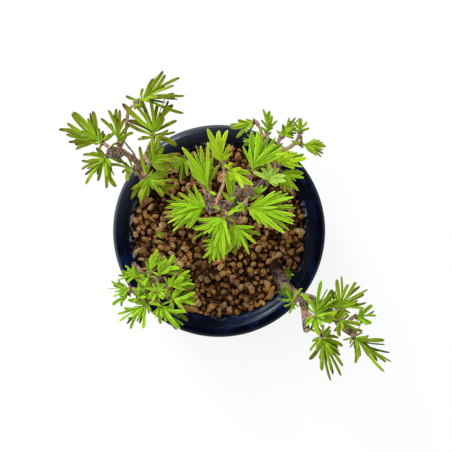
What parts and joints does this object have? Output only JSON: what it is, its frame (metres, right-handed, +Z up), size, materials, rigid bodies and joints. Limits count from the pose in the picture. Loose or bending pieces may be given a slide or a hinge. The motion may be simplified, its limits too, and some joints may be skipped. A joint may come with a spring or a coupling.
{
  "type": "dawn redwood bonsai",
  "caption": "Small dawn redwood bonsai clump: leaning trunks with short spurs that open into fans of flat leaflets, rooted in clay granules in a round glazed bowl pot.",
  "frame": {"origin": "the middle of the whole plant's outline seen from above, on the resting plane; the pot's axis stands at x = -6.6 mm, y = 1.3 mm, because the foliage overhangs the pot unevenly", "axes": "+Z up; +Y towards the upper edge of the picture and +X towards its right edge, as it looks straight down"},
  "size_m": [0.1717, 0.1564, 0.141],
  "materials": {
    "pot_glaze": "gloss",
    "drain_plastic": "matte",
    "clay_granules": "matte",
    "bark": "matte",
    "foliage_mature": "satin",
    "foliage_fresh": "satin",
    "foliage_budding": "satin",
    "foliage_young": "satin"
  },
  "bodies": {
    "root": {"pot": "pot_glaze", "drain_mesh": "drain_plastic", "soil": "clay_granules", "wood_main": "bark", "wood_lower_right": "bark", "wood_lower_left": "bark", "wood_upper_left": "bark", "spray_upper_left_1": "foliage_mature", "spray_upper_left_2": "foliage_mature", "spray_upper_left_3": "foliage_mature", "spray_upper_left_4": "foliage_mature", "spray_upper_left_5": "foliage_mature", "spray_upper_left_6": "foliage_mature", "spray_upper_left_7": "foliage_mature", "spray_upper_left_8": "foliage_mature", "spray_main_1": "foliage_fresh", "spray_main_2": "foliage_fresh", "spray_main_3": "foliage_fresh", "spray_main_4": "foliage_fresh", "spray_main_5": "foliage_fresh", "spray_main_6": "foliage_budding", "spray_main_7": "foliage_budding", "spray_main_8": "foliage_fresh", "spray_main_9": "foliage_fresh", "spray_main_10": "foliage_fresh", "spray_main_11": "foliage_mature", "spray_main_12": "foliage_mature", "spray_main_13": "foliage_fresh", "spray_main_14": "foliage_mature", "spray_main_15": "foliage_mature", "spray_main_16": "foliage_mature", "spray_main_17": "foliage_budding", "spray_main_18": "foliage_fresh", "spray_main_19": "foliage_young", "spray_main_20": "foliage_fresh", "spray_main_21": "foliage_fresh", "spray_lower_left_1": "foliage_fresh", "spray_lower_left_2": "foliage_fresh", "spray_lower_left_3": "foliage_fresh", "spray_lower_left_4": "foliage_fresh", "spray_lower_left_5": "foliage_fresh", "spray_lower_left_6": "foliage_fresh", "spray_lower_left_7": "foliage_fresh", "spray_lower_left_8": "foliage_fresh", "spray_lower_left_9": "foliage_fresh", "spray_lower_left_10": "foliage_fresh", "spray_lower_left_11": "foliage_fresh", "spray_lower_left_12": "foliage_fresh", "spray_lower_right_1": "foliage_fresh", "spray_lower_right_2": "foliage_fresh", "spray_lower_right_3": "foliage_mature", "spray_lower_right_4": "foliage_mature", "spray_lower_right_5": "foliage_mature", "spray_lower_right_6": "foliage_fresh", "spray_lower_right_7": "foliage_mature"}
  },
  "joints": []
}
